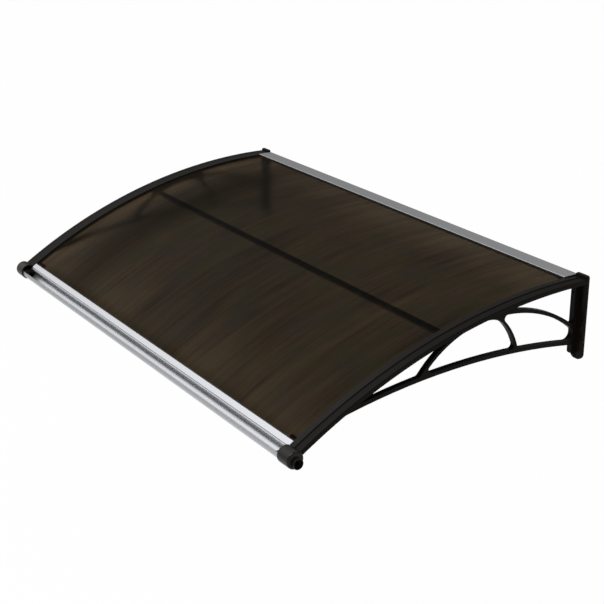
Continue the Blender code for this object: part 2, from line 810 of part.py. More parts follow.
def strip_section(side):
    def at(inward, height):
        return (side * (RAIL_OUTSIDE - inward), height)

    def band(inward):
        return STRIP_OUTER_HEIGHT - STRIP_BAND_FALL * inward / STRIP_BAND_WIDTH

    ridge = STRIP_RIDGE_WIDTH / 2
    return [
        at(0.0, 0.0),
        at(0.0, STRIP_OUTER_HEIGHT),
        at(STRIP_RIDGE_AT - 2 * ridge, band(STRIP_RIDGE_AT - 2 * ridge)),
        at(STRIP_RIDGE_AT - ridge, band(STRIP_RIDGE_AT - ridge) + STRIP_RIDGE_HEIGHT),
        at(STRIP_RIDGE_AT + ridge, band(STRIP_RIDGE_AT + ridge) + STRIP_RIDGE_HEIGHT),
        at(STRIP_RIDGE_AT + 2 * ridge, band(STRIP_RIDGE_AT + 2 * ridge)),
        at(STRIP_BAND_WIDTH, band(STRIP_BAND_WIDTH)),
        at(STRIP_BAND_WIDTH + STRIP_STEP_WIDTH, STRIP_LIP_HEIGHT),
        at(RAIL_WIDTH, STRIP_INNER_HEIGHT),
        at(RAIL_WIDTH, GAP),
        at(RIB_OUTSIDE + STRIP_RIB_WIDTH, GAP),
        at(RIB_OUTSIDE + STRIP_RIB_WIDTH, LEDGE_TOP + GAP),
        at(RIB_OUTSIDE, LEDGE_TOP + GAP),
        at(RIB_OUTSIDE, 0.0),
    ]


def build_strip(side, label):
    strip = swept(
        "press_strip_" + label, strip_section(side), SHEET_START, SHEET_FRONT_ANGLE, BLACK_PLASTIC
    )
    cuts = [bpy.data.objects["cap_space_" + label]]
    for number, angle in enumerate(strip_screw_angles(), 1):
        cuts.append(
            radial_rod(
                f"strip_pilot_{label}_{number}",
                side * SCREW_LINE,
                angle,
                LEDGE_TOP - GAP,
                LEDGE_TOP + STRIP_SCREW_BITE + GAP,
                SCREW_RADIUS + GAP,
            )
        )
    combine(strip, "DIFFERENCE", cuts)
    return strip


# Roof sheet

def build_sheet():
    half = SHEET_WIDTH / 2
    section = [(-half, -SHEET_THICKNESS), (-half, 0.0), (half, 0.0), (half, -SHEET_THICKNESS)]
    sheet = swept("roof_sheet", section, SHEET_START, SHEET_FRONT_ANGLE, BRONZE_SHEET)
    combine(sheet, "DIFFERENCE", [bpy.data.objects["cap_space_" + word] for word in ("right", "left")])
    return sheet


# Wall profile and its seal

def build_wall_profile():
    top = WALL_PROFILE_HEIGHT / 2
    under = top - WALL_PROFILE_SKIN
    nose = WALL_PROFILE_SKIN / 2
    front = -WALL_PROFILE_DEPTH
    nose_centre = Vector((front + nose, top - nose))
    rounding = arc_points(nose_centre, nose_centre + Vector((0.0, nose)), nose_centre - Vector((nose, 0.0)))
    rounding_low = arc_points(
        nose_centre, nose_centre - Vector((nose, 0.0)), nose_centre - Vector((0.0, nose))
    )
    loop = [
        (0.0, top),
        (front + nose, top),
        *[tuple(point) for point in rounding],
        (front, top - nose),
        *[tuple(point) for point in rounding_low],
        (front + nose, under),
        (-WALL_PROFILE_SKIN, under),
        (-WALL_PROFILE_SKIN, WALL_SHELF_TOP),
        (-WALL_SHELF_DEPTH, WALL_SHELF_TOP),
        (-WALL_SHELF_DEPTH, WALL_SHELF_BOTTOM),
        (-WALL_PROFILE_SKIN, WALL_SHELF_BOTTOM),
        (-WALL_PROFILE_SKIN, -top),
        (0.0, -top),
    ]
    profile = along_x("wall_profile", [loop], 0.0, 2 * PROFILE_HALF, ALUMINIUM)
    holes = []
    for side, label in ((1, "right"), (-1, "left")):
        holes.append(
            rod(
                "wall_profile_hole_" + label,
                (side * LUG_MIDDLE, -REAR_SCREW_FROM_WALL, WALL_SHELF_BOTTOM - GAP),
                (side * LUG_MIDDLE, -REAR_SCREW_FROM_WALL, WALL_SHELF_TOP + GAP),
                SCREW_RADIUS + GAP,
                HOLE_SIDES,
            )
        )
    combine(profile, "DIFFERENCE", holes)
    seal_front = front - WALL_SEAL_PROUD
    seal_top = under - GAP
    seal_low = seal_top - WALL_SEAL_HEIGHT
    seal = [
        (seal_front, seal_low),
        (seal_front + WALL_SEAL_DEPTH, seal_low),
        (seal_front + WALL_SEAL_DEPTH, seal_top),
        (seal_front, seal_top),
    ]
    along_x("wall_seal", [seal], 0.0, 2 * PROFILE_HALF, RUBBER)


# Front profile with its gutter, and its seal

def gutter_point(radius, angle):
    # Angle from the front, upwards
    return (GUTTER[0] - radius * math.cos(angle), GUTTER[1] + radius * math.sin(angle))


def front_profile_loop():
    inner = GUTTER_RADIUS - GUTTER_WALL
    centre = Vector(GUTTER)

    def under_slot(radius):
        back = math.sqrt(radius * radius - (GUTTER_UP - SLOT_UNDERSIDE) ** 2)
        return Vector(front_point(GUTTER_FORWARD - back, SLOT_UNDERSIDE))

    def front_wall(radius):
        down = math.sqrt(radius * radius - (GUTTER_FORWARD - STRIP_FRONT) ** 2)
        return Vector(front_point(STRIP_FRONT, GUTTER_UP - down))

    lip_inner = Vector(gutter_point(inner, GUTTER_LIP_ANGLE))
    lip_outer = Vector(gutter_point(GUTTER_RADIUS, GUTTER_LIP_ANGLE))
    bottom_inner = Vector(gutter_point(inner, -math.pi / 2))
    bottom_outer = Vector(gutter_point(GUTTER_RADIUS, -math.pi / 2))
    corner_inside = (front_point(STRIP_FRONT, SLOT_UNDERSIDE), under_slot(inner))
    groove = STRIP_FRONT - FRONT_GROOVE_SETBACK
    half_groove = FRONT_GROOVE_WIDTH / 2
    loop = [
        front_point(STRIP_REAR, STRIP_TOP),
        front_point(groove - half_groove, STRIP_TOP),
        front_point(groove - half_groove, STRIP_TOP - FRONT_GROOVE_DEPTH),
        front_point(groove + half_groove, STRIP_TOP - FRONT_GROOVE_DEPTH),
        front_point(groove + half_groove, STRIP_TOP),
        front_point(STRIP_FRONT - FRONT_FACE_LEAN, STRIP_TOP),
        *corner_inside,
        *arc_points(centre, corner_inside[1], bottom_inner),
        bottom_inner,
        *arc_points(centre, bottom_inner, lip_inner),
        lip_inner,
        lip_outer,
        *arc_points(centre, lip_outer, bottom_outer),
        bottom_outer,
        *arc_points(centre, bottom_outer, under_slot(GUTTER_RADIUS)),
        under_slot(GUTTER_RADIUS),
        front_point(STRIP_REAR, SLOT_UNDERSIDE),
        front_point(STRIP_REAR, SLOT_FLOOR),
        front_point(FRONT_SLOT_DEPTH / 2 + GAP, SLOT_FLOOR),
        front_point(FRONT_SLOT_DEPTH / 2 + GAP, GAP),
        front_point(STRIP_REAR, GAP),
    ]
    return [tuple(point) for point in loop]


def build_front_profile():
    half = PROFILE_HALF + GUTTER_PAST_SHEET_SLOT
    profile = along_x("front_profile", [front_profile_loop()], 0.0, 2 * half, ALUMINIUM)
    cuts = []
    for side, label in ((1, "right"), (-1, "left")):
        near = side * PROFILE_HALF
        far = side * (half + RAIL_WIDTH)
        cuts.append(
            block(
                "slot_end_" + label,
                (min(near, far), STRIP_REAR - FRONT_SLOT_DEPTH, SLOT_UNDERSIDE - GAP),
                (max(near, far), STRIP_FRONT + GAP, STRIP_TOP + FRONT_SLOT_DEPTH),
                placement=front_frame(),
            )
        )
        cuts.append(
            rod(
                "front_profile_hole_" + label,
                (side * LUG_MIDDLE, *front_point(FRONT_SCREW_FORWARD, SLOT_UNDERSIDE - GAP)),
                (side * LUG_MIDDLE, *front_point(FRONT_SCREW_FORWARD, SLOT_FLOOR + GAP)),
                SCREW_RADIUS + GAP,
                HOLE_SIDES,
            )
        )
    combine(profile, "DIFFERENCE", cuts)
    rear = STRIP_REAR - GAP
    seal = [
        front_point(rear, GAP),
        front_point(rear, GAP + FRONT_SEAL_HEIGHT),
        front_point(rear - FRONT_SEAL_DEPTH / 2, GAP + FRONT_SEAL_HEIGHT),
        front_point(rear - FRONT_SEAL_DEPTH, GAP + FRONT_SEAL_HEIGHT / 2),
        front_point(rear - FRONT_SEAL_DEPTH, GAP),
    ]
    along_x("front_seal", [seal], 0.0, 2 * PROFILE_HALF, RUBBER)


# End cap: a barrel over the gutter's end, a plug inside it and a drain spout

def build_cap(side, label):
    outer_end = CAP_MOUTH + CAP_LENGTH
    edge = CAP_EDGE_RADIUS
    sleeve = GUTTER_RADIUS + GAP
    floor = outer_end - CAP_END_WALL
    turn_centre = Vector((CAP_RADIUS - edge, outer_end - edge))
    rounding = arc_points(turn_centre, turn_centre + Vector((0.0, edge)), turn_centre + Vector((edge, 0.0)))
    profile = [
        (0.0, outer_end),
        (CAP_RADIUS - edge, outer_end),
        *[tuple(point) for point in rounding],
        (CAP_RADIUS, outer_end - edge),
        (CAP_RADIUS, CAP_MOUTH),
        (sleeve, CAP_MOUTH),
        (sleeve, floor),
        (0.0, floor),
    ]
    facing = Matrix.Translation((0.0, *GUTTER)) @ TURN_Z_TO_X
    if side < 0:
        facing = Matrix.Translation((0.0, *GUTTER)) @ Matrix.Rotation(math.pi, 4, "Z") @ TURN_Z_TO_X
    cap = turned("end_cap_" + label, profile, ROUND_SIDES, facing, BLACK_PLASTIC)
    spout_y = GUTTER[0] + SPOUT_BACK
    spout_z = GUTTER[1] - SPOUT_DROP
    spout = rod(
        "spout_" + label,
        (side * (outer_end - CAP_END_WALL / 2), spout_y, spout_z),
        (side * (outer_end + SPOUT_LENGTH), spout_y, spout_z),
        SPOUT_RADIUS,
        ROUND_SIDES - HOLE_SIDES,
    )
    plug_end = CAP_MOUTH - PLUG_PAST_MOUTH
    plug = rod(
        "plug_" + label,
        (side * plug_end, *GUTTER),
        (side * (outer_end - CAP_END_WALL / 2), *GUTTER),
        GUTTER_RADIUS - GUTTER_WALL - GAP,
    )
    lip_top = gutter_point(GUTTER_RADIUS, GUTTER_LIP_ANGLE)[1] - PLUG_TOP_BELOW_LIP
    near = side * (plug_end - PLUG_PAST_MOUTH)
    far = side * floor
    plug_top = block(
        "plug_top_" + label,
        (min(near, far), GUTTER[0] - CAP_RADIUS, lip_top),
        (max(near, far), GUTTER[0] + CAP_RADIUS, lip_top + CAP_RADIUS),
    )
    back_clear = block(
        "plug_back_" + label,
        (min(near, far), -FRONT_SLOT_DEPTH, SLOT_UNDERSIDE - GAP),
        (max(near, far), STRIP_FRONT + GAP, CAP_RADIUS),
        placement=front_frame(),
    )
    combine(plug, "DIFFERENCE", [plug_top, back_clear])
    bore = rod(
        "drain_" + label,
        (side * (plug_end - GAP), spout_y, spout_z),
        (side * (outer_end + CAP_END_WALL), spout_y, spout_z),
        PLUG_BORE_RADIUS,
        ROUND_SIDES // 2,
    )
    spout_bore = rod(
        "spout_bore_" + label,
        (side * (outer_end + CAP_END_WALL / 2), spout_y, spout_z),
        (side * (outer_end + SPOUT_LENGTH + CAP_END_WALL), spout_y, spout_z),
        SPOUT_BORE_RADIUS,
        ROUND_SIDES // 2,
    )
    combine(cap, "UNION", [spout, plug])
    combine(cap, "DIFFERENCE", [bore, spout_bore])


# Crossbar

def build_crossbar():
    half = WEB_INSIDE - GAP
    inner = CROSSBAR_RADIUS - CROSSBAR_WALL
    profile = [(CROSSBAR_RADIUS, half), (CROSSBAR_RADIUS, -half), (inner, -half), (inner, half)]
    placement = Matrix.Translation((0.0, *crossbar_centre())) @ TURN_Z_TO_X
    turned("crossbar", profile, ROUND_SIDES // 2, placement, ALUMINIUM)


# Screws: pan heads with a cross recess, head down

def screw_mesh(name, length):
    # The head bears at z = 0 and the shank points up
    tip = SCREW_RADIUS / 2
    head_bottom = -GAP - SCREW_HEAD_HEIGHT
    profile = [
        (0.0, length),
        (tip, length),
        (SCREW_RADIUS, length - tip),
        (SCREW_RADIUS, -GAP),
        (SCREW_HEAD_RADIUS, -GAP),
        (SCREW_HEAD_RADIUS, -GAP - SCREW_HEAD_HEIGHT / 2),
        (SCREW_HEAD_RADIUS * 0.75, head_bottom),
        (0.0, head_bottom),
    ]
    screw = turned(name, profile, HOLE_SIDES, Matrix.Identity(4))
    half_long = SCREW_RECESS_LENGTH / 2
    half_wide = SCREW_RECESS_WIDTH / 2
    recess = [
        block(
            f"{name}_recess_{turn}",
            (-across, -along, head_bottom - SCREW_RECESS_DEPTH),
            (across, along, head_bottom + depth),
        )
        for turn, across, along, depth in (
            (1, half_long, half_wide, SCREW_RECESS_DEPTH),
            (2, half_wide, half_long, SCREW_RECESS_DEPTH - GAP / 2),
        )
    ]
    combine(screw, "DIFFERENCE", recess)
    bpy.context.view_layer.update()
    evaluated = screw.evaluated_get(bpy.context.evaluated_depsgraph_get())
    mesh = bpy.data.meshes.new_from_object(evaluated)
    for used in (screw, *recess):
        bpy.data.objects.remove(used, do_unlink=True)
    mesh.materials.clear()
    mesh.materials.append(material(ZINC_SCREW))
    return mesh


STRIP_SCREW = screw_mesh("strip_screw", LEDGE_THICKNESS + STRIP_SCREW_BITE)
PROFILE_SCREW = screw_mesh("profile_screw", LUG_THICKNESS + PROFILE_SCREW_BITE)


def place_screw(name, mesh, x, seat, direction):
    # seat is where the head bears; direction is the unit vector up the shank
    screw = bpy.data.objects.new(name, mesh)
    PARTS.objects.link(screw)
    across = Vector((1.0, 0.0, 0.0))
    up = Vector((0.0, *direction))
    turn = Matrix((across, up.cross(across), up)).transposed().to_4x4()
    screw.matrix_world = Matrix.Translation((x, *seat)) @ turn


def build_screws(side, label):
    for number, angle in enumerate(strip_screw_angles(), 1):
        up = (-math.sin(angle), math.cos(angle))
        seat = arc_point(angle, LEDGE_BOTTOM)
        place_screw(f"strip_screw_{label}_{number}", STRIP_SCREW, side * SCREW_LINE, seat, up)
    seat = front_point(FRONT_SCREW_FORWARD, FRONT_LUG_TOP - LUG_THICKNESS)
    place_screw("front_screw_" + label, PROFILE_SCREW, side * LUG_MIDDLE, seat, OUTWARD)
    seat = (-REAR_SCREW_FROM_WALL, REAR_LUG_TOP - LUG_THICKNESS)
    place_screw("rear_screw_" + label, PROFILE_SCREW, side * LUG_MIDDLE, seat, (0.0, 1.0))


for side, label in ((1, "right"), (-1, "left")):
    build_bracket(side, label)
    build_strip(side, label)
    build_cap(side, label)
    build_screws(side, label)
build_sheet()
build_wall_profile()
build_front_profile()
build_crossbar()
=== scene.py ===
from math import asin, cos, pi, radians, sin

import bpy
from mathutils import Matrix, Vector


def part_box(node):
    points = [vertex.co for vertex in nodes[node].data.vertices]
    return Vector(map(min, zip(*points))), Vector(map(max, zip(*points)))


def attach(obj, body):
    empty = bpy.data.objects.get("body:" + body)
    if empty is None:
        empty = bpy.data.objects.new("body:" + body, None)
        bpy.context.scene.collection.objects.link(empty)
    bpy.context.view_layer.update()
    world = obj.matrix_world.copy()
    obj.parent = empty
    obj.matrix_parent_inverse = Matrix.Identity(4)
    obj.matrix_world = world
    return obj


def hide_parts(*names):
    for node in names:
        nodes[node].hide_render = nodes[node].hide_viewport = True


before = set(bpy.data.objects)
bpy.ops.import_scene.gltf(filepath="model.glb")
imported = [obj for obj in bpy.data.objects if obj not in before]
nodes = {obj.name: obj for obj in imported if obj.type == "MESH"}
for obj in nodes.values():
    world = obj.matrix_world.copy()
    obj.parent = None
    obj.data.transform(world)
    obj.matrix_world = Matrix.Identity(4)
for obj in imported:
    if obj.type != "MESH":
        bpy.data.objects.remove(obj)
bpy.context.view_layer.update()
print("frame loaded:", len(nodes), "pieces")


# small helpers for working by hand

mergeDistance = 0.00001


def clearSelection():
    if bpy.context.object and bpy.context.object.mode != "OBJECT":
        bpy.ops.object.mode_set(mode="OBJECT")
    bpy.ops.object.select_all(action="DESELECT")


def makeActive(piece):
    clearSelection()
    piece.select_set(True)
    bpy.context.view_layer.objects.active = piece


def applyModifiers(piece):
    makeActive(piece)
    for modifier in list(piece.modifiers):
        bpy.ops.object.modifier_apply(modifier=modifier.name)


def cutAway(piece, cutter, name):
    cut = piece.modifiers.new(name, "BOOLEAN")
    cut.operation = "DIFFERENCE"
    cut.solver = "EXACT"
    cut.object = cutter
    applyModifiers(piece)
    bpy.data.objects.remove(cutter, do_unlink=True)


def freezePlace(piece):
    makeActive(piece)
    bpy.ops.object.transform_apply(location=True, rotation=True, scale=True)


def giveFinish(piece, finish):
    piece.data.materials.clear()
    piece.data.materials.append(finish)


def addToCanopy(piece, finish, slotName, *replaced):
    giveFinish(piece, finish)
    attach(piece, "root")
    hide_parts(*replaced)


# node helpers: an output given as a value is linked, a number or a colour is written in the socket

def feed(tree, socket, value):
    if isinstance(value, bpy.types.NodeSocket):
        tree.links.new(value, socket)
    else:
        socket.default_value = value


def feedNamed(tree, node, values):
    for socketName, value in values.items():
        feed(tree, node.inputs[socketName], value)


def calculate(tree, operation, *values):
    node = tree.nodes.new("ShaderNodeMath")
    node.operation = operation
    for index, value in enumerate(values):
        feed(tree, node.inputs[index], value)
    return node.outputs["Value"]


def calculateVectors(tree, operation, first, second):
    node = tree.nodes.new("ShaderNodeVectorMath")
    node.operation = operation
    feed(tree, node.inputs[0], first)
    feed(tree, node.inputs[1], second)
    return node.outputs["Value"]


def spread(tree, value, fromLow, fromHigh, toLow=0.0, toHigh=1.0, smooth=False):
    node = tree.nodes.new("ShaderNodeMapRange")
    node.interpolation_type = "SMOOTHSTEP" if smooth else "LINEAR"
    feedNamed(tree, node, {"Value": value, "From Min": fromLow, "From Max": fromHigh,
                           "To Min": toLow, "To Max": toHigh})
    return node.outputs["Result"]


def mixColors(tree, share, first, second):
    node = tree.nodes.new("ShaderNodeMix")
    node.data_type = "RGBA"
    feed(tree, node.inputs["Factor"], share)
    feed(tree, node.inputs[6], first)
    feed(tree, node.inputs[7], second)
    return node.outputs[2]


def mixValues(tree, share, first, second):
    node = tree.nodes.new("ShaderNodeMix")
    node.data_type = "FLOAT"
    feed(tree, node.inputs["Factor"], share)
    feed(tree, node.inputs[2], first)
    feed(tree, node.inputs[3], second)
    return node.outputs[0]


def separate(tree, vector):
    node = tree.nodes.new("ShaderNodeSeparateXYZ")
    feed(tree, node.inputs["Vector"], vector)
    return node.outputs


def addNoise(tree, vector, scale, detail, roughness=0.5):
    node = tree.nodes.new("ShaderNodeTexNoise")
    feedNamed(tree, node, {"Vector": vector, "Scale": scale, "Detail": detail, "Roughness": roughness})
    return node.outputs["Fac"]


def stretch(tree, vector, scale):
    node = tree.nodes.new("ShaderNodeMapping")
    feedNamed(tree, node, {"Vector": vector, "Scale": scale})
    return node.outputs["Vector"]


def newGroup(name, inputs):
    # a colour has four numbers and a vector three
    kinds = {4: "NodeSocketColor", 3: "NodeSocketVector"}
    group = bpy.data.node_groups.new(name, "ShaderNodeTree")
    for socketName, value in inputs.items():
        kind = kinds[len(value)] if isinstance(value, tuple) else "NodeSocketFloat"
        socket = group.interface.new_socket(name=socketName, in_out="INPUT", socket_type=kind)
        socket.default_value = value
    for socketName, kind in (("Color", "NodeSocketColor"), ("Roughness", "NodeSocketFloat"),
                             ("Height", "NodeSocketFloat")):
        group.interface.new_socket(name=socketName, in_out="OUTPUT", socket_type=kind)
    start = group.nodes.new("NodeGroupInput")
    end = group.nodes.new("NodeGroupOutput")
    start.location = (-900, 0)
    end.location = (700, 0)
    return group, start.outputs, end


# camera at the photograph's angle

camera = dict(lens=80.14, place=(2.7446, -2.1598, 1.0720), azimuth=56.23, elevation=21.14,
              shiftRight=-0.5 / 604, shiftUp=0.5 / 604, sensorWidth=36, farthest=60)

clearSelection()
bpy.ops.object.camera_add(
    location=camera["place"],
    rotation=(radians(90 - camera["elevation"]), 0, radians(camera["azimuth"])))
eye = bpy.context.object
eye.name = "camera"
eye.data.sensor_width = camera["sensorWidth"]
eye.data.lens = camera["lens"]
eye.data.shift_x = camera["shiftRight"]
eye.data.shift_y = camera["shiftUp"]
eye.data.clip_end = camera["farthest"]
bpy.context.scene.camera = eye
bpy.context.scene.view_settings.view_transform = "Standard"
print("camera set")


# moulded plastic and rubber: fine grain and slow patches, dust on top, a duller outer band, painted shade in
# a bore

grainValues = dict(
    grainDetail=2.0, patchDetail=5.0, patchRoughness=0.62, patchLow=0.3, patchHigh=0.7,
    settleFrom=0.2, settleTo=1.0, boreShadeColor=(0.0005, 0.0005, 0.0005, 1), boreRougher=0.5)


def buildGrain(values):
    group, given, end = newGroup("mouldedGrain", {
        "Grain Scale": 900.0, "Patch Scale": 9.0, "Color": (0.01, 0.01, 0.01, 1),
        "Dust Color": (0.06, 0.06, 0.06, 1), "Dust": 0.1, "Rough Low": 0.4, "Rough High": 0.55,
        "Matte From": 10.0, "Matte More": 0.0, "Bore Shade Place": (0.0, 0.0, 0.0), "Bore Shade Radius": 0.0})
    place = group.nodes.new("ShaderNodeTexCoord").outputs["Object"]
    normal = group.nodes.new("ShaderNodeNewGeometry").outputs["Normal"]
    grain = addNoise(group, place, given["Grain Scale"], values["grainDetail"])
    patches = addNoise(group, place, given["Patch Scale"], values["patchDetail"], values["patchRoughness"])
    rough = spread(group, patches, values["patchLow"], values["patchHigh"],
                   given["Rough Low"], given["Rough High"])

    # dust settles on what faces up
    settled = spread(group, separate(group, normal)["Z"], values["settleFrom"], values["settleTo"])
    dust = calculate(group, "MULTIPLY", calculate(group, "MULTIPLY", settled, patches), given["Dust"])
    color = mixColors(group, dust, given["Color"], given["Dust Color"])

    # the band outside Matte From is duller
    across = separate(group, place)
    outside = calculate(group, "GREATER_THAN", calculate(group, "ABSOLUTE", across["X"]), given["Matte From"])
    rough = calculate(group, "MULTIPLY_ADD", outside, given["Matte More"], rough)

    # painted shade: whatever lies within the given radius of a spout axis along X is painted near black, for
    # the shade inside the bore
    section = group.nodes.new("ShaderNodeCombineXYZ")
    feedNamed(group, section, {"Y": across["Y"], "Z": across["Z"]})
    away = calculateVectors(group, "DISTANCE", section.outputs["Vector"], given["Bore Shade Place"])
    paintedBoreShade = calculate(group, "LESS_THAN", away, given["Bore Shade Radius"])
    color = mixColors(group, paintedBoreShade, color, values["boreShadeColor"])
    rough = calculate(group, "MULTIPLY_ADD", paintedBoreShade, values["boreRougher"], rough)
    feedNamed(group, end, {"Color": color, "Roughness": rough, "Height": grain})
    return group


# extruded metal: long die lines along X, slow clouds, and painted shade in the gutter, on the strip's front
# face above it and along the strip's groove

lineValues = dict(
    stretch=(0.0007, 1.0, 1.0), detail=1.5, roughness=0.6, lineShare=0.85, cloudScale=6.0, cloudDetail=4.0,
    cloudShare=0.15, levelLow=0.3, levelHigh=0.7, inwardTo=0.2, forwardFrom=-0.96, forwardTo=-0.99,
    forwardMost=0.6, wallShare=0.62)


def buildDrawnLines(values):
    group, given, end = newGroup("drawnLines", {
        "Line Scale": 700.0, "Light": (0.8, 0.8, 0.82, 1), "Dark": (0.6, 0.61, 0.64, 1),
        "Rough Low": 0.25, "Rough High": 0.4, "Painted Shade": (0.2, 0.2, 0.2, 1), "Painted Shade Share": 0.0,
        "Painted Shade From": -0.812, "Groove Shade Way": (0.0, -0.85156, -0.52427), "Groove Shade At": 0.79213,
        "Groove Shade Half": 0.0009, "Groove Shade Share": 0.0})
    place = group.nodes.new("ShaderNodeTexCoord").outputs["Object"]
    normal = group.nodes.new("ShaderNodeNewGeometry").outputs["Normal"]
    lines = addNoise(group, stretch(group, place, values["stretch"]), given["Line Scale"],
                     values["detail"], values["roughness"])
    clouds = addNoise(group, place, values["cloudScale"], values["cloudDetail"])
    level = calculate(group, "MULTIPLY_ADD", clouds, values["cloudShare"],
                      calculate(group, "MULTIPLY", lines, values["lineShare"]))
    color = mixColors(group, level, given["Light"], given["Dark"])
    rough = spread(group, level, values["levelLow"], values["levelHigh"],
                   given["Rough Low"], given["Rough High"])

    # painted shade, set by the way each face turns: in front of the given Y limit, in the gutter, the lip's
    # inside is painted darker and its outer wall a little less, and behind it every face that looks straight
    # forward, the front face of the strip above all
    turned = separate(group, normal)["Y"]
    inward = spread(group, turned, 0.0, values["inwardTo"])
    forward = spread(group, turned, values["forwardFrom"], values["forwardTo"], 0.0, values["forwardMost"])
    inGutter = calculate(group, "LESS_THAN", separate(group, place)["Y"], given["Painted Shade From"])
    outerWall = calculate(group, "MULTIPLY", forward, values["wallShare"])
    gutterShare = calculate(group, "MAXIMUM", inward, outerWall)
    paintedShade = calculate(group, "MULTIPLY", mixValues(group, inGutter, forward, gutterShare),
                        given["Painted Shade Share"])

    # painted shade: a dark line along the groove in the strip that grips the sheet
    along = calculateVectors(group, "DOT_PRODUCT", place, given["Groove Shade Way"])
    grooveShade = calculate(group, "COMPARE", along, given["Groove Shade At"], given["Groove Shade Half"])
    amount = calculate(group, "MAXIMUM", paintedShade, calculate(group, "MULTIPLY", grooveShade, given["Groove Shade Share"]))
    color = mixColors(group, amount, color, given["Painted Shade"])
    feedNamed(group, end, {"Color": color, "Roughness": rough, "Height": lines})
    return group


# twin-wall sheet: ribs straight along Y, streaks along them, slow patches of tint, painted light at the edges
# and painted shade in a band near the left

fluteValues = dict(
    streaks=((190.0, 0.020, 1.5, 0.42), (48.0, 0.075, 3.0, 0.26), (5.0, 0.60, 2.0, 0.32)),
    streakRoughness=0.6, levelLow=0.39, levelHigh=0.61, unevenLeast=0.35, shadeRough=0.5,
    patches=(("Olive", 9.0, 0.46, 0.62), ("Grey", 13.0, 0.50, 0.66)), patchStretch=0.7, patchDetail=3.0)


def buildFlutes(values):
    group, given, end = newGroup("sheetFlutes", {
        "Pitch": 0.0057, "Rib Width": 0.12, "Dark": (0.014, 0.0105, 0.006, 1),
        "Light": (0.035, 0.025, 0.014, 1), "Olive": (0.019, 0.019, 0.008, 1), "Olive Share": 0.4,
        "Grey": (0.019, 0.016, 0.0135, 1), "Grey Share": 0.4, "Rib": (0.011, 0.008, 0.005, 1),
        "Painted Edge Light": (0.06, 0.042, 0.026, 1), "Edge From": -0.665, "Edge To": -0.53,
        "Rear From": -0.21, "Rear To": -0.03, "Front From": -0.60, "Front To": -0.80,
        "Rear Share": 0.4, "Front Share": 0.2, "Shade From": -0.565, "Shade Middle": -0.46,
        "Shade To": -0.34, "Shade Share": 0.55, "Rough Clear": 0.29, "Rough Pale": 0.72,
        "Front Rough From": -0.755, "Front Rough To": -0.785})
    place = group.nodes.new("ShaderNodeTexCoord").outputs["Object"]
    across, back = separate(group, place)[:2]

    def streakNoise(scale, along, detail):
        return addNoise(group, stretch(group, place, (1.0, along, along)), scale, detail,
                        values["streakRoughness"])

    def fade(value, fromName, toName, low, high):
        return spread(group, value, given[fromName], given[toName], low, high, smooth=True)

    def multiply(first, second):
        return calculate(group, "MULTIPLY", first, second)

    def larger(first, second):
        return calculate(group, "MAXIMUM", first, second)

    wave = calculate(group, "PINGPONG", calculate(group, "DIVIDE", across, given["Pitch"]), 0.5)
    rib = spread(group, wave, 0.0, given["Rib Width"], 1.0, 0.0, smooth=True)

    total = 0.0
    for scale, along, detail, share in values["streaks"]:
        total = calculate(group, "MULTIPLY_ADD", streakNoise(scale, along, detail), share, total)
    level = spread(group, total, values["levelLow"], values["levelHigh"])
    color = mixColors(group, level, given["Dark"], given["Light"])
    for tone, scale, low, high in values["patches"]:
        patch = spread(group, streakNoise(scale, values["patchStretch"], values["patchDetail"]), low, high)
        color = mixColors(group, multiply(patch, given[tone + " Share"]), color, given[tone])

    # painted shade: a darker band beside the left edge, where the left bracket below shades the light that
    # runs in
    shade = multiply(fade(across, "Shade From", "Shade Middle", 0.0, 1.0),
                     fade(across, "Shade Middle", "Shade To", 1.0, 0.0))
    color = mixColors(group, multiply(shade, given["Shade Share"]), color, given["Dark"])

    # painted light: paler where light runs in along the left side and at both ends
    leftPaintedLight = fade(across, "Edge From", "Edge To", 1.0, 0.0)
    rearPaintedLight = multiply(fade(back, "Rear From", "Rear To", 0.0, 1.0), given["Rear Share"])
    frontPaintedLight = multiply(fade(back, "Front To", "Front From", 1.0, 0.0), given["Front Share"])
    paintedLight = multiply(larger(leftPaintedLight, larger(rearPaintedLight, frontPaintedLight)),
                    spread(group, level, 0.0, 1.0, values["unevenLeast"]))
    color = mixColors(group, paintedLight, color, given["Painted Edge Light"])
    color = mixColors(group, rib, color, given["Rib"])

    # what lies below shows less at the left, at the front and, by half, in the darker band
    frontRough = fade(back, "Front Rough To", "Front Rough From", 1.0, 0.0)
    cloudy = larger(larger(leftPaintedLight, frontRough), multiply(shade, values["shadeRough"]))
    rough = spread(group, cloudy, 0.0, 1.0, given["Rough Clear"], given["Rough Pale"])
    feedNamed(group, end, {"Color": color, "Roughness": rough, "Height": rib})
    return group


grainGroup = buildGrain(grainValues)
drawnGroup = buildDrawnLines(lineValues)
fluteGroup = buildFlutes(fluteValues)
print("shared effects built")


# finishes

plasticLook = dict(
    color=(0.0052, 0.0043, 0.0037), dust=0.05, roughLow=0.22, roughHigh=0.32, specular=0.5, ior=1.17,
    matteFrom=0.6825, matteMore=0.22, boreShadePlace=(0, 0, 0), boreShadeRadius=0.0, bump=0.35, grainDepth=0.00003)
# painted light: the brackets, in the roof's shade, get the same black plastic in a lighter colour, with a
# lower IOR and no duller band
bracketLightenedLook = dict(plasticLook, color=(0.0085, 0.0072, 0.0063), ior=1.14, matteFrom=10.0)
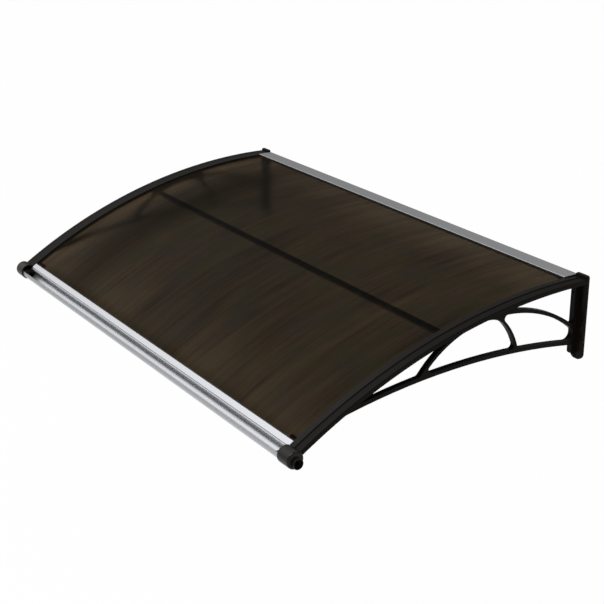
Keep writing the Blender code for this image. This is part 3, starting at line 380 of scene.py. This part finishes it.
# on the cap, the bore entries place the painted shade inside the spout
capLook = dict(
    color=(0.0125, 0.0096, 0.0082), dust=0.06, roughLow=0.18, roughHigh=0.28, specular=0.5, ior=1.30,
    matteFrom=10.0, matteMore=0.0, boreShadePlace=(0, -0.8107, -0.2258), boreShadeRadius=0.0111, bump=0.35,
    grainDepth=0.00001)
sheetLook = dict(
    dark=(0.0158, 0.0112, 0.0070), light=(0.0450, 0.0305, 0.0165), olive=(0.0240, 0.0220, 0.0105),
    oliveShare=0.6, grey=(0.0215, 0.0180, 0.0155), greyShare=0.5, rib=(0.0120, 0.0085, 0.0050),
    paintedEdgeLight=(0.138, 0.098, 0.060), roughness=0.29, transmission=0.92, ior=1.07, specular=0.10,
    bump=0.4, ribDepth=0.00003)
# the aluminium carries painted shade in the gutter, on forward faces and along the groove; the wall profile's
# carries none
metalLook = dict(
    light=(0.625, 0.635, 0.655), dark=(0.59, 0.60, 0.62), roughLow=0.34, roughHigh=0.38, metallic=0.92,
    paintedShade=(0.15, 0.16, 0.18), paintedShadeShare=0.9, lineShare=0.7, bump=0.35, lineDepth=0.0000003)
wallLook = dict(metalLook, light=(0.585, 0.59, 0.60), dark=(0.55, 0.555, 0.565), paintedShadeShare=0.0,
                lineShare=0.0)
smallLook = dict(dust=0.1, roughLeast=0.85, roughMost=1.15, grainScale=1500.0, bump=0.3, grainDepth=0.00003)


def opaque(color):
    return (*color, 1)


def newMaterial(name, color, roughness, metallic=0.0):
    finish = bpy.data.materials.new(name)
    finish.use_nodes = True
    tree = finish.node_tree
    shader = tree.nodes["Principled BSDF"]
    feedNamed(tree, shader, {"Base Color": opaque(color), "Roughness": roughness, "Metallic": metallic})
    return finish, tree, shader


def dressShader(tree, shader, group, inputs, bumpStrength, bumpDistance):
    effect = tree.nodes.new("ShaderNodeGroup")
    effect.node_tree = group
    effect.location = (-520, 0)
    feedNamed(tree, effect, inputs)
    bump = tree.nodes.new("ShaderNodeBump")
    bump.location = (-220, -320)
    feedNamed(tree, bump, {"Strength": bumpStrength, "Distance": bumpDistance,
                           "Height": effect.outputs["Height"]})
    feedNamed(tree, shader, {"Base Color": effect.outputs["Color"], "Roughness": effect.outputs["Roughness"],
                             "Normal": bump.outputs["Normal"]})


def makePlastic(name, look):
    finish, tree, shader = newMaterial(name, look["color"], 0.45)
    feedNamed(tree, shader, {"IOR": look["ior"], "Specular IOR Level": look["specular"]})
    dressShader(tree, shader, grainGroup, {
        "Color": opaque(look["color"]), "Dust": look["dust"], "Rough Low": look["roughLow"],
        "Rough High": look["roughHigh"], "Matte From": look["matteFrom"], "Matte More": look["matteMore"],
        "Bore Shade Place": look["boreShadePlace"], "Bore Shade Radius": look["boreShadeRadius"]},
        look["bump"], look["grainDepth"])
    return finish


def makeMetal(name, look):
    finish, tree, shader = newMaterial(name, look["light"], 0.4, look["metallic"])
    dressShader(tree, shader, drawnGroup, {
        "Light": opaque(look["light"]), "Dark": opaque(look["dark"]), "Rough Low": look["roughLow"],
        "Rough High": look["roughHigh"], "Painted Shade": opaque(look["paintedShade"]),
        "Painted Shade Share": look["paintedShadeShare"], "Groove Shade Share": look["lineShare"]},
        look["bump"], look["lineDepth"])
    return finish


def makeSheetFinish(name, look):
    finish, tree, shader = newMaterial(name, look["light"], look["roughness"])
    feedNamed(tree, shader, {"Transmission Weight": look["transmission"], "IOR": look["ior"],
                             "Specular IOR Level": look["specular"]})
    dressShader(tree, shader, fluteGroup, {
        "Dark": opaque(look["dark"]), "Light": opaque(look["light"]), "Olive": opaque(look["olive"]),
        "Olive Share": look["oliveShare"], "Grey": opaque(look["grey"]), "Grey Share": look["greyShare"],
        "Rib": opaque(look["rib"]), "Painted Edge Light": opaque(look["paintedEdgeLight"])},
        look["bump"], look["ribDepth"])
    return finish


def makeSmall(name, color, roughness, metallic=0.0):
    look = smallLook
    finish, tree, shader = newMaterial(name, color, roughness, metallic)
    dressShader(tree, shader, grainGroup, {
        "Color": opaque(color), "Dust": look["dust"], "Rough Low": roughness * look["roughLeast"],
        "Rough High": roughness * look["roughMost"], "Grain Scale": look["grainScale"]},
        look["bump"], look["grainDepth"])
    return finish


blackPlastic = makePlastic("blackPlastic", plasticLook)
bracketPlasticLightened = makePlastic("bracketPlasticLightened", bracketLightenedLook)
capPlastic = makePlastic("capPlastic", capLook)
bronzeSheet = makeSheetFinish("bronzeSheet", sheetLook)
aluminium = makeMetal("aluminium", metalLook)
wallAluminium = makeMetal("wallAluminium", wallLook)
rubber = makeSmall("sealRubber", (0.012, 0.012, 0.012), 0.75)
zinc = makeSmall("zincScrew", (0.55, 0.55, 0.53), 0.38, 1.0)
print("finishes made")


# moulded and extruded pieces: the solids with their edges broken

edges = dict(flatAngle=radians(0.3), sharpAngle=radians(32), bracket=0.0008, pressStrip=0.0007, endCap=0.0005,
             frontProfile=0.00025, wallProfile=0.0004)


def breakEdges(nodeName, pieceName, width, segments, finish, slotName, shaping=None):
    piece = bpy.data.objects.new(pieceName, nodes[nodeName].data.copy())
    bpy.context.collection.objects.link(piece)
    makeActive(piece)
    bpy.ops.object.mode_set(mode="EDIT")
    bpy.ops.mesh.select_all(action="SELECT")
    bpy.ops.mesh.remove_doubles(threshold=mergeDistance)
    bpy.ops.mesh.customdata_custom_splitnormals_clear()
    bpy.ops.mesh.mark_sharp(clear=True)
    bpy.ops.mesh.dissolve_limited(angle_limit=edges["flatAngle"])
    bpy.ops.object.mode_set(mode="OBJECT")
    if shaping:
        shaping(piece)
    bevel = piece.modifiers.new("edges", "BEVEL")
    bevel.width = width
    bevel.segments = segments
    bevel.limit_method = "ANGLE"
    bevel.angle_limit = edges["sharpAngle"]
    bevel.miter_outer = "MITER_ARC"
    applyModifiers(piece)
    bpy.ops.object.shade_smooth_by_angle(angle=edges["sharpAngle"])
    normals = piece.modifiers.new("normals", "WEIGHTED_NORMAL")
    normals.keep_sharp = True
    applyModifiers(piece)
    addToCanopy(piece, finish, slotName, nodeName)


# press strips: the outer band lies level, so that the step beside it is low

stripBand = dict(axis=(-0.0504, -1.4179), railOutside=0.7020, lipHeight=0.0055, width=0.0190, lift=0.0003,
                 leastRise=0.0020, leastInward=0.0005, slip=0.0002)


def shapePressStrip(piece):
    values = stripBand
    axis = Vector((0, *values["axis"]))
    spans = [(vertex, Vector((0, vertex.co.y, vertex.co.z)) - axis) for vertex in piece.data.vertices]
    top = max(span.length for vertex, span in spans) - values["lipHeight"]
    moved = 0
    for vertex, span in spans:
        inward = values["railOutside"] - abs(vertex.co.x)
        onBand = values["leastInward"] < inward < values["width"] + values["slip"]
        if onBand and span.length - top > values["leastRise"]:
            vertex.co += span.normalized() * values["lift"] * inward / values["width"]
            moved += 1
    print("press strip shaped:", moved)


# front profile: a wider line along the top strip, its front face leaning back, a flat outer gutter wall

frontShape = dict(
    slotAngle=0.551856, sheetAxis=(-0.0504, -1.4179), sheetRadius=1.4232, stripTop=0.0020, stripEdge=0.01005,
    edgeSetback=0.0016, grooveForward=0.00585, grooveReach=0.0012, grooveLeastUp=0.0009, grooveWidth=0.0022,
    grooveFloor=0.0012, grooveDepth=0.0010, gutterCentre=(-0.8127, -0.2198), gutterRadius=0.017,
    lipAngle=radians(20.0), lipTop=0.0043, trimLength=1.6, trimHeight=0.010, slip=0.00015)


def stripPlace(point, values):
    # forward and upward distances in the tilted frame of the strip that grips the sheet
    angle = values["slotAngle"]
    across = point.y - values["sheetAxis"][0] + values["sheetRadius"] * sin(angle)
    rise = point.z - values["sheetAxis"][1] - values["sheetRadius"] * cos(angle)
    return -across * cos(angle) - rise * sin(angle), -across * sin(angle) + rise * cos(angle)


def shapeFrontProfile(piece):
    values = frontShape
    slip, radius, stripTop = values["slip"], values["gutterRadius"], values["stripTop"]
    forwardWay = Vector((0, -cos(values["slotAngle"]), -sin(values["slotAngle"])))
    upWay = Vector((0, -sin(values["slotAngle"]), cos(values["slotAngle"])))
    centreY, centreZ = values["gutterCentre"]
    lipRise = radius * sin(values["lipAngle"])
    leaning = (1 - cos(values["lipAngle"])) * radius
    counts = dict(groove=0, edge=0, wall=0)
    for vertex in piece.data.vertices:
        forward, up = stripPlace(vertex.co, values)
        beside = forward - values["grooveForward"]
        outward, rise = centreY - vertex.co.y, vertex.co.z - centreZ
        onTop = abs(up - stripTop) < slip
        onGutter = abs((outward * outward + rise * rise) ** 0.5 - radius) < slip
        if abs(beside) < values["grooveReach"] and up > values["grooveLeastUp"]:
            half = (values["grooveWidth"] if onTop else values["grooveFloor"]) / 2
            vertex.co += forwardWay * ((half if beside > 0 else -half) - beside)
            if not onTop:
                vertex.co += upWay * (stripTop - values["grooveDepth"] - up)
            counts["groove"] += 1
        elif abs(forward - values["stripEdge"]) < slip and onTop:
            vertex.co -= forwardWay * values["edgeSetback"]
            counts["edge"] += 1
        elif outward > 0 and 0 < rise < lipRise - slip and onGutter:
            vertex.co.y = centreY - radius + leaning * rise / lipRise
            counts["wall"] += 1
    print("front profile shaped:", counts)
    clearSelection()
    bpy.ops.mesh.primitive_cube_add(
        size=1, location=(0, centreY - radius, centreZ + values["lipTop"] + values["trimHeight"] / 2))
    trim = bpy.context.object
    trim.scale = (values["trimLength"], radius, values["trimHeight"])
    freezePlace(trim)
    cutAway(piece, trim, "lipTrim")


for word in ("left", "right"):
    ending = word.capitalize()
    breakEdges("bracket_" + word, "bracket" + ending, edges["bracket"], 2, bracketPlasticLightened, "black_plastic")
    breakEdges("press_strip_" + word, "pressStrip" + ending, edges["pressStrip"], 3, blackPlastic,
               "black_plastic", shapePressStrip)
    breakEdges("end_cap_" + word, "endCap" + ending, edges["endCap"], 2, capPlastic, "black_plastic")
breakEdges("front_profile", "frontProfile", edges["frontProfile"], 2, aluminium, "aluminium",
           shapeFrontProfile)
breakEdges("wall_profile", "wallProfile", edges["wallProfile"], 2, wallAluminium, "aluminium")
print("brackets, strips, caps and profiles finished")


# roof sheet: bent from wall to front, with room for the end caps at both front corners

roofSheet = dict(
    width=1.380, thickness=0.0045, radius=1.4232, crownFromWall=0.0504, crownLevel=0.0053, rear=0.0086,
    reach=0.8044, steps=72, capRadius=0.0210, capFrom=0.6618, capLength=0.06, capSides=64,
    gutterCentre=(-0.8127, -0.2198), smoothAngle=radians(30))


def buildRoofSheet(values):
    centre = Vector((0, -values["crownFromWall"], values["crownLevel"] - values["radius"]))
    first = asin((values["rear"] - values["crownFromWall"]) / values["radius"])
    last = asin((values["reach"] - values["crownFromWall"]) / values["radius"])
    middle = values["radius"] - values["thickness"] / 2
    clearSelection()
    bpy.ops.mesh.primitive_plane_add(
        size=1, location=(0, centre.y - middle * sin(first), centre.z + middle * cos(first)),
        rotation=(pi / 2 + first, 0, 0))
    sheet = bpy.context.object
    sheet.name = "roofSheet"
    sheet.scale = (values["width"], values["thickness"], 1)
    freezePlace(sheet)
    bpy.ops.object.mode_set(mode="EDIT")
    bpy.ops.mesh.select_all(action="SELECT")
    bpy.ops.mesh.spin(steps=values["steps"], angle=first - last, center=centre, axis=(1, 0, 0))
    bpy.ops.mesh.select_all(action="SELECT")
    bpy.ops.mesh.remove_doubles(threshold=mergeDistance)
    bpy.ops.mesh.normals_make_consistent(inside=False)
    bpy.ops.object.mode_set(mode="OBJECT")
    for side in (-1, 1):
        clearSelection()
        bpy.ops.mesh.primitive_cylinder_add(
            vertices=values["capSides"], radius=values["capRadius"], depth=values["capLength"],
            location=(side * (values["capFrom"] + values["capLength"] / 2), *values["gutterCentre"]),
            rotation=(0, pi / 2, 0))
        cutAway(sheet, bpy.context.object, "capSpace")
    makeActive(sheet)
    bpy.ops.object.shade_smooth_by_angle(angle=values["smoothAngle"])
    return sheet


addToCanopy(buildRoofSheet(roofSheet), bronzeSheet, "bronze_sheet", "roof_sheet")
print("roof sheet bent")


# crossbar: a tube

barLow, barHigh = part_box("crossbar")
crossbar = dict(radius=(barHigh.z - barLow.z) / 2, wall=0.0012, length=barHigh.x - barLow.x, sides=64,
                smoothAngle=radians(30))

clearSelection()
bpy.ops.mesh.primitive_cylinder_add(
    vertices=crossbar["sides"], radius=crossbar["radius"], depth=crossbar["length"], end_fill_type="NOTHING",
    location=(barLow + barHigh) / 2, rotation=(0, pi / 2, 0))
bar = bpy.context.object
bar.name = "crossbar_tube"
freezePlace(bar)
wall = bar.modifiers.new("wall", "SOLIDIFY")
wall.thickness = crossbar["wall"]
wall.offset = -1
applyModifiers(bar)
bpy.ops.object.shade_smooth_by_angle(angle=crossbar["smoothAngle"])
addToCanopy(bar, aluminium, "aluminium", "crossbar")
print("crossbar made")


# small pieces keep their solids

for name, piece in nodes.items():
    if "screw" in name:
        giveFinish(piece, zinc)
    elif name.endswith("seal"):
        giveFinish(piece, rubber)


# stage: seen directly or through the sheet, floor and sky are the white background, and metal mirrors
# a dimmer floor and the glow in the sky

stage = dict(
    floorLevel=-1.0, floorSize=60, floorColor=(0.86, 0.86, 0.86), floorRoughness=0.9, whiteSeen=0.98,
    whiteMirrored=0.12, climbFrom=0.15, climbTo=0.72, horizonLevel=0.10, skyLevel=0.56,
    glowWay=(-0.776, -0.451, 0.441), glowFrom=0.70, glowFocus=1.0, glowLevel=0.92)
keyLamp = dict(place=(0.4, -2.2, 3.2), target=(0, -0.4, 0), length=3.0, depth=2.0, power=92)


def seenShare(tree, directLevel):
    # how white a ray straight from the camera or through the sheet sees it, and whether a ray is mirrored
    path = tree.nodes.new("ShaderNodeLightPath").outputs
    direct = calculate(tree, "MAXIMUM", path["Is Camera Ray"], path["Is Transmission Ray"])
    return calculate(tree, "MULTIPLY", direct, directLevel), path["Is Glossy Ray"]


def mixShaders(tree, share, first, second, output):
    mixed = tree.nodes.new("ShaderNodeMixShader")
    feed(tree, mixed.inputs["Fac"], share)
    feed(tree, mixed.inputs[1], first)
    feed(tree, mixed.inputs[2], second)
    feed(tree, output.inputs["Surface"], mixed.outputs["Shader"])


clearSelection()
bpy.ops.mesh.primitive_plane_add(size=stage["floorSize"], location=(0, 0, stage["floorLevel"]))
floor = bpy.context.object
floor.name = "floor"
floorFinish, floorTree, floorShader = newMaterial("paleFloor", stage["floorColor"], stage["floorRoughness"])
direct, mirrored = seenShare(floorTree, stage["whiteSeen"])
mixShaders(floorTree,
           calculate(floorTree, "MAXIMUM", direct,
                     calculate(floorTree, "MULTIPLY", mirrored, stage["whiteMirrored"])),
           floorShader.outputs["BSDF"], floorTree.nodes.new("ShaderNodeEmission").outputs["Emission"],
           floorTree.nodes["Material Output"])
giveFinish(floor, floorFinish)

world = bpy.data.worlds.new("studio")
bpy.context.scene.world = world
world.use_nodes = True
sky = world.node_tree
direction = sky.nodes.new("ShaderNodeTexCoord").outputs["Generated"]
climb = spread(sky, separate(sky, direction)["Z"], stage["climbFrom"], stage["climbTo"],
               stage["horizonLevel"], stage["skyLevel"], smooth=True)
# a large soft glow far away at the left front
toGlow = calculateVectors(sky, "DOT_PRODUCT", direction, stage["glowWay"])
glow = calculate(sky, "POWER", spread(sky, toGlow, stage["glowFrom"], 1.0), stage["glowFocus"])
strength = calculate(sky, "MULTIPLY_ADD", glow, stage["glowLevel"], climb)
around = sky.nodes["Background"]
white = sky.nodes.new("ShaderNodeBackground")
feedNamed(sky, around, {"Color": (1, 1, 1, 1), "Strength": strength})
feedNamed(sky, white, {"Color": (1, 1, 1, 1), "Strength": stage["whiteSeen"]})
direct, mirrored = seenShare(sky, 1.0)
mixShaders(sky, direct, around.outputs["Background"], white.outputs["Background"], sky.nodes["World Output"])

clearSelection()
bpy.ops.object.light_add(type="AREA", location=keyLamp["place"])
lamp = bpy.context.object
lamp.name = "keyLamp"
lamp.data.shape = "RECTANGLE"
lamp.data.size, lamp.data.size_y = keyLamp["length"], keyLamp["depth"]
lamp.data.energy = keyLamp["power"]
lamp.rotation_euler = (Vector(keyLamp["target"]) - lamp.location).to_track_quat("-Z", "Y").to_euler()
print("stage lit")
